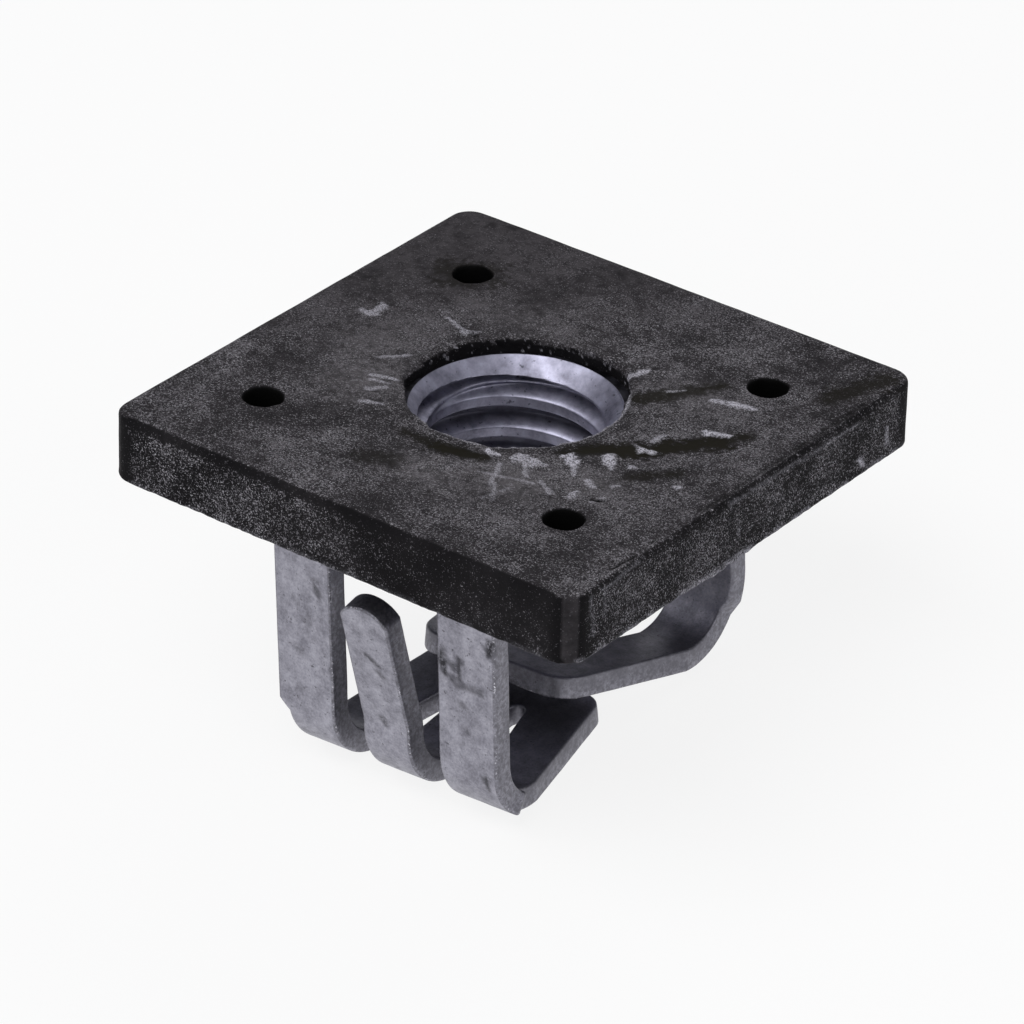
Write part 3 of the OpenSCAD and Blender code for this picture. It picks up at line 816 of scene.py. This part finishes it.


# turned steel, barrel-plated in zinc: blue-grey sheen, faint rings from the tool, painted shade in the
# grooves and on the land
def turnedZinc(v):
    material, tree = newMaterial("turnedZincPlatedSteel")
    place = addNode(tree, "ShaderNodeTexCoord").outputs["Object"]
    dirtAndShade = addNode(tree, "ShaderNodeAttribute", {"attribute_name": "dirtAndShade"}).outputs["Fac"]
    cloud = addNode(tree, "ShaderNodeTexNoise", {},
                    {"Vector": place, "Scale": 1 / v["cloud"], "Detail": 5.0, "Roughness": 0.65})
    pit = addNode(tree, "ShaderNodeTexNoise", {},
                  {"Vector": place, "Scale": 1 / v["pit"], "Detail": 2.0, "Roughness": 0.5})
    # rings follow the height alone
    stretched = addNode(tree, "ShaderNodeMapping", {}, {"Vector": place, "Scale": (0.02, 0.02, 1.0)})
    rings = addNode(tree, "ShaderNodeTexNoise", {},
                    {"Vector": stretched, "Scale": 1 / v["toolMark"], "Detail": 2.0})
    mottle = addNode(tree, ranged, {}, {"Value": cloud, 1: 0.3, 2: 0.7, 3: 0.0, 4: 1.0})
    tone = addNode(tree, "ShaderNodeMix", {"data_type": "RGBA"},
                   {0: mottle, 6: linearColour(v["dull"]), 7: linearColour(v["bright"])})
    pitted = addNode(tree, ranged, {}, {"Value": pit, 1: 0.66, 2: 0.74, 3: 0.0, 4: 0.6})
    specked = addNode(tree, "ShaderNodeMix", {"data_type": "RGBA"},
                      {0: pitted, 6: tone.outputs[2], 7: linearColour(v["dirtAndShade"])})
    # painted shade from the attribute, broken up by the cloud; the pits' dark specks share its colour
    patchy = addNode(tree, ranged, {}, {"Value": cloud, 1: 0.25, 2: 0.6, 3: 0.7, 4: 1.0})
    dark = addNode(tree, maths, {"operation": "MULTIPLY"}, {0: dirtAndShade, 1: patchy})
    shadedTone = addNode(tree, "ShaderNodeMix", {"data_type": "RGBA"},
                     {0: dark, 6: specked.outputs[2], 7: linearColour(v["dirtAndShade"])})
    height = addNode(tree, maths, {"operation": "ADD"}, {0: cloud, 1: rings})
    bump = addNode(tree, "ShaderNodeBump", {},
                   {"Strength": 0.35, "Distance": v["skinDepth"], "Height": height})
    rough = addNode(tree, ranged, {}, {"Value": dirtAndShade, 1: 0.0, 2: 1.0, 3: 0.48, 4: 0.6})
    surface = addNode(tree, "ShaderNodeBsdfPrincipled", {},
                      {"Base Color": shadedTone.outputs[2], "Metallic": 1.0, "Roughness": rough, "Normal": bump})
    addNode(tree, "ShaderNodeOutputMaterial", {}, {"Surface": surface})
    return material


# the clip

clipValues = {
    "thickness": 1.1 * mm,
    "edge": 0.13 * mm,
    "plateDrop": 0.40 * mm,
    "plateWidth": 14.225 * mm,
    "plateCorner": 0.8 * mm,
    "holeRadius": 5.8125 * mm,
    "half": 9.3 * mm,
    "topBend": 1.9 * mm,
    "legWidth": 12.2 * mm,
    "lean": 2.7,
    "shift": 0.2 * mm,
    "windowWidth": 5.9 * mm,
    "header": 2.0 * mm,
    "tongueWidth": 2.6 * mm,
    "tongueArch": 1.5 * mm,
    "tipGap": 0.1 * mm,
    "tongueLean": 13.4,
    "kinkRise": 0.3 * mm,
    "kinkRadius": 1.5 * mm,
    "slotLength": 4.1 * mm,
    "slotEnd": 0.75 * mm,
    "spacing": 0.2 * mm,
}
# steps: where each edge starts and ends its step in to the flap, as angles round the bend, at +X and -X
legValues = {
    "front": {"side": -1, "height": 12.5 * mm, "bend": 3.2 * mm, "rise": 7.2, "flap": 6.4 * mm,
              "root": 11.2 * mm, "tip": 9.0 * mm, "corner": 0.9 * mm, "steps": ((61, 63), (4, 14))},
    "back": {"side": 1, "height": 11.0 * mm, "bend": 3.6 * mm, "rise": 9.1, "flap": 7.2 * mm,
             "root": 11.6 * mm, "tip": 8.2 * mm, "corner": 1.5 * mm, "steps": ((25, 37), (25, 37))},
}


# dark handling marks on the front leg's outer face, in millimetres: x, z to x, z, the width at each
# end, strength
frontSmudges = [
    (3.45, -4.3, 3.6, -5.3, 0.16, 0.12, 0.9), (3.6, -5.3, 4.1, -5.4, 0.12, 0.10, 0.8),
    (4.4, -4.4, 4.4, -5.2, 0.14, 0.10, 0.8), (3.9, -4.6, 4.1, -4.9, 0.10, 0.08, 0.6),
    (6.0, -2.9, 6.05, -3.5, 0.20, 0.16, 0.9), (4.3, -5.6, 5.7, -5.5, 0.12, 0.10, 0.6),
    (4.6, -6.5, 4.8, -6.6, 0.12, 0.10, 0.5), (4.9, -7.7, 4.9, -7.8, 0.08, 0.06, 0.8),
    (6.0, -9.8, 6.05, -10.3, 0.16, 0.10, 0.8), (-3.6, -3.5, -3.4, -4.1, 0.16, 0.12, 0.6),
    (-4.7, -7.1, -4.3, -7.3, 0.12, 0.10, 0.35), (-4.4, -9.2, -4.2, -9.3, 0.14, 0.10, 0.3),
    (0.1, -5.4, 0.6, -5.7, 0.14, 0.10, 0.8), (0.55, -6.1, 0.8, -6.3, 0.10, 0.14, 0.5),
    (0.3, -8.8, 0.45, -9.2, 0.12, 0.12, 0.6),
]


# how far along the blank each change of a leg's shape comes, measured on the outer face
def legMarks(v, leg):
    marks = {"plateEnd": v["half"] - v["topBend"]}
    marks["bendEnd"] = marks["plateEnd"] + v["topBend"] * math.pi / 2
    topZ = -v["plateDrop"] - v["topBend"]
    lowZ = leg["bend"] - v["plateDrop"] - leg["height"]
    marks["lowStart"] = marks["bendEnd"] + topZ - lowZ
    marks["lowEnd"] = marks["lowStart"] + leg["bend"] * math.radians(90 + leg["rise"])
    marks["tip"] = marks["lowEnd"] + leg["flap"]
    marks["window"] = marks["bendEnd"] + topZ + v["plateDrop"] + v["header"]
    marks["kink"] = marks["lowStart"] - v["kinkRise"]
    marks["tongueTip"] = marks["window"] + v["tipGap"]
    marks["lowZ"] = lowZ
    return marks


# a point of the blank in its folded place: u across, s along from the middle, n in from the face
def foldPoint(v, u, s, n):
    leg = legValues["back" if s > 0 else "front"]
    marks = leg["marks"]
    run = abs(s)

    def arc(cy, cz, radius, degrees):
        a = math.radians(degrees)
        return cy + radius * math.cos(a), cz + radius * math.sin(a)

    between = marks["window"] + v["tipGap"] / 2 < run < marks["kink"]
    if between and abs(u) < v["tongueWidth"] / 2 + 0.1 * mm:
        cy, cz = v["half"] + v["kinkRadius"], marks["lowZ"] + v["kinkRise"]
        lean = math.radians(v["tongueLean"])
        past = marks["kink"] - run
        turned = min(v["tongueLean"], math.degrees(past / v["kinkRadius"]))
        straight = max(0.0, past - v["kinkRadius"] * lean)
        y, z = arc(cy, cz, v["kinkRadius"] + n, 180 - turned)
        y += straight * math.sin(lean)
        z += straight * math.cos(lean)
    elif run <= marks["plateEnd"]:
        y, z = run, -v["plateDrop"] - n
    elif run <= marks["bendEnd"]:
        turned = math.degrees((run - marks["plateEnd"]) / v["topBend"])
        y, z = arc(marks["plateEnd"], -v["plateDrop"] - v["topBend"], v["topBend"] - n, 90 - turned)
    elif run <= marks["lowStart"]:
        y, z = v["half"] - n, -v["plateDrop"] - v["topBend"] - (run - marks["bendEnd"])
    else:
        turned = min(90 + leg["rise"], math.degrees((run - marks["lowStart"]) / leg["bend"]))
        y, z = arc(v["half"] - leg["bend"], marks["lowZ"], leg["bend"] - n, -turned)
        past = max(0.0, run - marks["lowEnd"])
        y -= past * math.cos(math.radians(leg["rise"]))
        z += past * math.sin(math.radians(leg["rise"]))
    return Vector((u, leg["side"] * y, z))


def arcPoints(cu, cs, radius, start, end, steps):
    angles = [math.radians(start + (end - start) * i / steps) for i in range(steps + 1)]
    return [Vector((cu + radius * math.cos(a), cs + radius * math.sin(a))) for a in angles]


# right-hand edge of one leg in the blank, from the plate's middle line to the flap's tip
def legEdge(v, leg, step):
    marks, corner, tip, wide = leg["marks"], leg["corner"], leg["tip"] / 2, v["legWidth"] / 2
    slope = (leg["root"] / 2 - tip) / leg["flap"]
    leanIn = math.atan(slope)
    plateSide, plateEnd, pc = v["plateWidth"] / 2, marks["plateEnd"], v["plateCorner"]
    stepStart, stepEnd = (marks["lowStart"] + leg["bend"] * math.radians(a) for a in step)
    nubRadius, nubOut = 0.4 * mm, 0.14 * mm
    points = [Vector((plateSide, 0))]
    points += arcPoints(plateSide - pc, plateEnd - pc, pc, 0, 90, 8)
    points.append(Vector((wide, plateEnd)))
    if stepEnd - stepStart < nubRadius:
        points.append(Vector((wide, stepStart - 2.2 * nubRadius)))
        points += arcPoints(wide + nubOut - nubRadius, stepStart - nubRadius, nubRadius, -40, 90, 8)
    else:
        points.append(Vector((wide, stepStart)))
    points += [Vector((leg["root"] / 2, stepEnd)), Vector((leg["root"] / 2, marks["lowEnd"]))]
    centre = tip + corner * (slope - 1 / math.cos(leanIn)), marks["tip"] - corner
    points += arcPoints(*centre, corner, math.degrees(leanIn), 90, 8)
    points.append(Vector((0, marks["tip"])))
    return points


# half of the opening round the tongue, from its top middle down to the slot and up the tongue
def windowEdge(v, leg):
    marks, side, tongue = leg["marks"], v["windowWidth"] / 2, v["tongueWidth"] / 2
    endRadius, arch = v["slotEnd"] / 2, v["tongueArch"]
    points = [Vector((0, marks["window"])), Vector((side, marks["window"])), Vector((side, marks["lowEnd"]))]
    slotCentre = marks["lowEnd"] + v["slotLength"] - endRadius
    points += arcPoints(tongue + endRadius, slotCentre, endRadius, 0, 180, 10)
    archStart = -math.degrees(math.acos(tongue / arch))
    points += arcPoints(0, marks["tongueTip"] + arch, arch, archStart, -90, 8)
    return points


def mirrored(points, u, s):
    return [Vector((p.x * u, p.y * s)) for p in points]


# closed loop with points no further apart than the spacing
def refined(loop, spacing):
    points = []
    for i, a in enumerate(loop):
        b = loop[(i + 1) % len(loop)]
        if (b - a).length < 1e-7:
            continue
        count = max(1, math.ceil((b - a).length / spacing))
        points += [a.lerp(b, k / count) for k in range(count)]
    return points


# way out of the sheet at each point of a loop that has the sheet on its left
def outward(loop):
    ways = []
    for i, p in enumerate(loop):
        before, after = p - loop[i - 1], loop[(i + 1) % len(loop)] - p
        n1, n2 = Vector((before.y, -before.x)).normalized(), Vector((after.y, -after.x)).normalized()
        way = (n1 + n2).normalized()
        ways.append(way / max(0.6, way.dot(n1)))
    return ways


def loopArea(loop):
    return sum(a.x * b.y - b.x * a.y for a, b in zip(loop, loop[1:] + loop[:1])) / 2


def blankLoops(v):
    front, back = legValues["front"], legValues["back"]
    plus = legEdge(v, back, back["steps"][0])
    minus = mirrored(legEdge(v, back, back["steps"][1]), -1, 1)
    frontPlus = mirrored(legEdge(v, front, front["steps"][0]), 1, -1)
    frontMinus = mirrored(legEdge(v, front, front["steps"][1]), -1, -1)
    outline = plus + minus[::-1] + frontMinus + frontPlus[::-1]
    loops = [outline, arcPoints(0, 0, v["holeRadius"], 0, 360, 120)[:-1]]
    for leg in (front, back):
        half = windowEdge(v, leg)
        loops.append(mirrored(half + mirrored(half, -1, 1)[::-1], 1, leg["side"]))
    finished = []
    for i, loop in enumerate(loops):
        loop = refined(loop, v["spacing"])
        if (loopArea(loop) > 0) != (i == 0):
            loop.reverse()
        finished.append(loop)
    return finished


# where the loops cross a line at one s, in order along u
def crossings(loops, s):
    return sorted(a.x + (s - a.y) / (b.y - a.y) * (b.x - a.x)
                  for loop in loops for a, b in zip(loop, loop[1:] + loop[:1]) if (a.y > s) != (b.y > s))


# the blank's face, inside its rounded edge, as points and triangles
def blankFace(v, loops):
    points, edges = [], []
    for loop in loops:
        start = len(points)
        points += loop
        edges += [(start + i, start + (i + 1) % len(loop)) for i in range(len(loop))]
    step = v["spacing"]
    cells = {}
    for p in points:
        cells.setdefault((round(p.x / step), round(p.y / step)), []).append(p)
    lowS, highS, highU = min(p.y for p in points), max(p.y for p in points), max(p.x for p in points)
    rows, columns = math.ceil((highS - lowS) / step), math.ceil(2 * highU / step)
    for r in range(1, rows):
        s = lowS + (highS - lowS) * r / rows
        crossed = crossings(loops, s)
        for c in range(1, columns):
            u = -highU + 2 * highU * c / columns
            if sum(1 for x in crossed if x < u) % 2 == 0:
                continue
            cell = (round(u / step), round(s / step))
            around = [(cell[0] + i, cell[1] + j) for i in (-1, 0, 1) for j in (-1, 0, 1)]
            near = [q for key in around for q in cells.get(key, [])]
            if all((q.x - u) ** 2 + (q.y - s) ** 2 > (0.6 * step) ** 2 for q in near):
                points.append(Vector((u, s)))
    flat, _, triangles, *_ = geometry.delaunay_2d_cdt([p / mm for p in points], edges, [], 0, 1e-7)
    kept = []
    for triangle in triangles:
        centre = sum((flat[i] for i in triangle), Vector((0, 0))) / 3 * mm
        if sum(1 for x in crossings(loops, centre.y) if x < centre.x) % 2 == 1:
            kept.append(tuple(triangle))
    return [Vector(p) * mm for p in flat], kept


def buildClip(v):
    for leg in legValues.values():
        leg["marks"] = legMarks(v, leg)
    e, t = v["edge"], v["thickness"]
    loops = blankLoops(v)
    ways = [outward(loop) for loop in loops]
    flat, triangles = blankFace(v, [[p - w * e for p, w in zip(loop, way)] for loop, way in zip(loops, ways)])
    count = len(flat)
    blank = [(p.x, p.y, 0) for p in flat] + [(p.x, p.y, t) for p in flat]
    cut, burr = [0.0] * len(blank), [0.0] * len(blank)
    faces = triangles + [(a + count, c + count, b + count) for a, b, c in triangles]
    # the rounded cut edge, from one face over to the other
    turns = [math.pi / 2 * i / 4 for i in range(5)]
    profile = [(e * (1 - math.sin(a)), e * (1 - math.cos(a))) for a in turns]
    profile += [(0, e + (t - 2 * e) * i / 4) for i in range(1, 4)]
    profile += [(e * (1 - math.cos(a)), t - e + e * math.sin(a)) for a in turns]
    for loop, way in zip(loops, ways):
        rings = [[(p.x - w.x * back, p.y - w.y * back, depth) for p, w in zip(loop, way)]
                 for back, depth in profile]
        edgePoints, edgeFaces = stitchRings(rings)
        faces += [tuple(i + len(blank) for i in f) for f in edgeFaces]
        blank += edgePoints
        cut += [0.0 if ring in (0, len(rings) - 1) else 1.0 for ring in range(len(rings)) for _ in loop]
        burr += [1.0 if ring in (2, 3) else 0.0 for ring in range(len(rings)) for _ in loop]
    place = Matrix.Translation((0, -v["shift"], 0)) @ Matrix.Rotation(math.radians(-v["lean"]), 4, "Y")
    clip = addObject("springClip", [place @ foldPoint(v, *p) for p in blank], faces)
    blank = np.array(blank) / mm
    paint(clip, "cutEdge", cut)
    paint(clip, "burr", burr)
    # masks for the painted shade: how far in from the outer face, and how far onto the flaps
    paint(clip, "inside", blank[:, 2] / (t / mm))
    flapStart = min(leg["marks"]["lowEnd"] for leg in legValues.values()) / mm
    paint(clip, "onFlap", ramp(abs(blank[:, 1]), flapStart - 3.0, flapStart))
    layer = clip.data.attributes.new("blank", "FLOAT_VECTOR", "POINT")
    layer.data.foreach_set("vector", np.ascontiguousarray(blank * mm, dtype=np.float32).ravel())
    finishMesh(clip, 45, merge=0.002 * mm)
    roughenSheet(clip)
    p = pointsOf(clip)
    rag = 0.25 + 1.2 * wobbles(p, 0.3, 33)
    paint(clip, "smudge", smears(p[:, [0, 2]], rag, frontSmudges, soft=0.14) * (p[:, 1] < -9.2))
    return clip


# sheared edges waver a little, and the faces carry shallow dents from the plating barrel
def roughenSheet(clip):
    p = pointsOf(clip)
    dents = 0.012 * wobbles(p, 1.3, 31) + 0.006 * wobbles(p, 0.45, 32)
    clip.data.update()
    normals = np.array([n.vector for n in clip.data.vertex_normals])
    p += normals * dents[:, None]
    clip.data.vertices.foreach_set("co", (p * mm).ravel())


sheetValues = {
    "cloud": 0.7 * mm,
    "crystal": 0.11 * mm,
    "pit": 0.2 * mm,
    "smudge": 0.9 * mm,
    "dull": "#807f89",
    "bright": "#a9a8b3",
    "dark": "#38373a",
    "stamped": "#262528",
    "sheared": "#6a6970",
    "glint": "#e2e1ea",
    "skinDepth": 0.025 * mm,
}


# sheared and folded steel sheet, barrel-plated in zinc: dull blue-grey, finely mottled, with dark pits
# and smudges, painted shade on the inner faces and painted glints on the burrs
def zincSheet(v):
    material, tree = newMaterial("dulledZincPlatedSheet")
    place = addNode(tree, "ShaderNodeTexCoord").outputs["Object"]
    blank = addNode(tree, "ShaderNodeAttribute", {"attribute_name": "blank"}).outputs["Vector"]
    marks = {name: addNode(tree, "ShaderNodeAttribute", {"attribute_name": name}).outputs["Fac"]
             for name in ("cutEdge", "inside", "onFlap", "smudge", "burr")}
    # smudges run along the strip, as it was drawn through the tools
    along = addNode(tree, "ShaderNodeMapping", {}, {"Vector": blank, "Scale": (1.0, 0.45, 1.0)})
    cloud, crystal, pit, smudge = (
        addNode(tree, "ShaderNodeTexNoise", {},
                {"Vector": where, "Scale": 1 / v[name], "Detail": detail, "Roughness": 0.62})
        for name, where, detail in (("cloud", place, 6.0), ("crystal", place, 2.0),
                                    ("pit", place, 3.0), ("smudge", along, 5.0)))
    mixed = addNode(tree, maths, {"operation": "MULTIPLY_ADD"}, {0: crystal, 1: 0.5, 2: cloud})
    mottle = addNode(tree, ranged, {}, {"Value": mixed, 1: 0.55, 2: 0.95, 3: 0.0, 4: 1.0})
    pitted = addNode(tree, ranged, {}, {"Value": pit, 1: 0.63, 2: 0.72, 3: 0.0, 4: 0.7})
    smudged = addNode(tree, ranged, {}, {"Value": smudge, 1: 0.60, 2: 0.75, 3: 0.0, 4: 0.45})
    broken = addNode(tree, ranged, {}, {"Value": pit, 1: 0.34, 2: 0.46, 3: 0.3, 4: 1.0})
    stamped = addNode(tree, maths, {"operation": "MULTIPLY"}, {0: marks["smudge"], 1: broken})
    # painted shade: the inner faces darker, the flaps' inner faces most, as they lie under the pad
    flapShade = addNode(tree, maths, {"operation": "MULTIPLY"}, {0: marks["inside"], 1: marks["onFlap"]})
    shaded = addNode(tree, maths, {"operation": "MULTIPLY"}, {0: marks["inside"], 1: 0.15})
    innerShade = addNode(tree, maths, {"operation": "MULTIPLY_ADD"}, {0: flapShade, 1: 0.3, 2: shaded})
    torn = addNode(tree, ranged, {}, {"Value": pit, 1: 0.4, 2: 0.6, 3: 0.95, 4: 0.3})
    sheared = addNode(tree, maths, {"operation": "MULTIPLY"}, {0: marks["cutEdge"], 1: torn})
    # painted glints: bright specks along the burrs of the cut edges
    raised = addNode(tree, ranged, {}, {"Value": crystal, 1: 0.56, 2: 0.66, 3: 0.0, 4: 1.0})
    here = addNode(tree, ranged, {}, {"Value": smudge, 1: 0.46, 2: 0.58, 3: 0.0, 4: 1.0})
    burred = addNode(tree, maths, {"operation": "MULTIPLY"}, {0: marks["burr"], 1: raised})
    glint = addNode(tree, maths, {"operation": "MULTIPLY"}, {0: burred, 1: here})
    # each layer lies over the one before
    layers = [(mottle, v["bright"]), (pitted, v["dark"]), (smudged, v["dark"]), (stamped, v["stamped"]),
              (innerShade, v["dark"]), (sheared, v["sheared"]), (glint, v["glint"])]
    tone = linearColour(v["dull"])
    for amount, colour in layers:
        laid = addNode(tree, "ShaderNodeMix", {"data_type": "RGBA"},
                       {0: amount, 6: tone, 7: linearColour(colour)})
        tone = laid.outputs[2]
    height = addNode(tree, maths, {"operation": "MULTIPLY_ADD"}, {0: pitted, 1: -0.8, 2: mixed})
    bump = addNode(tree, "ShaderNodeBump", {},
                   {"Strength": 0.5, "Distance": v["skinDepth"], "Height": height})
    rough = addNode(tree, ranged, {}, {"Value": mixed, 1: 0.5, 2: 1.0, 3: 0.54, 4: 0.42})
    surface = addNode(tree, "ShaderNodeBsdfPrincipled", {},
                      {"Base Color": tone, "Metallic": 1.0, "Roughness": rough, "Normal": bump})
    addNode(tree, "ShaderNodeOutputMaterial", {}, {"Surface": surface})
    return material


addCamera(cameraValues)
addLamps()
buildWorld(worldValues)
addFloor(floorValues, frame["nodes"]["clip"])
print("camera, lamps, world and floor set")

padBody = buildPad(padValues)
padBody.data.materials.clear()
padBody.data.materials.append(mouldedPlastic(plasticValues))
print("pad moulded:", len(padBody.data.polygons), "faces")

nutSteel = turnedZinc(zincValues)
collarNut = buildNut(nutValues)
print("nut turned:", len(collarNut.data.polygons), "faces")

springClip = buildClip(clipValues)
springClip.data.materials.append(zincSheet(sheetValues))
print("clip folded:", len(springClip.data.polygons), "faces")

for piece, node, slotName in ((padBody, "pad", "pad_plastic"), (collarNut, "nut", "nut_steel"),
                              (springClip, "clip", "clip_steel")):
    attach(piece, "root")
    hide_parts(node)

bpy.context.scene.view_settings.view_transform = "Standard"
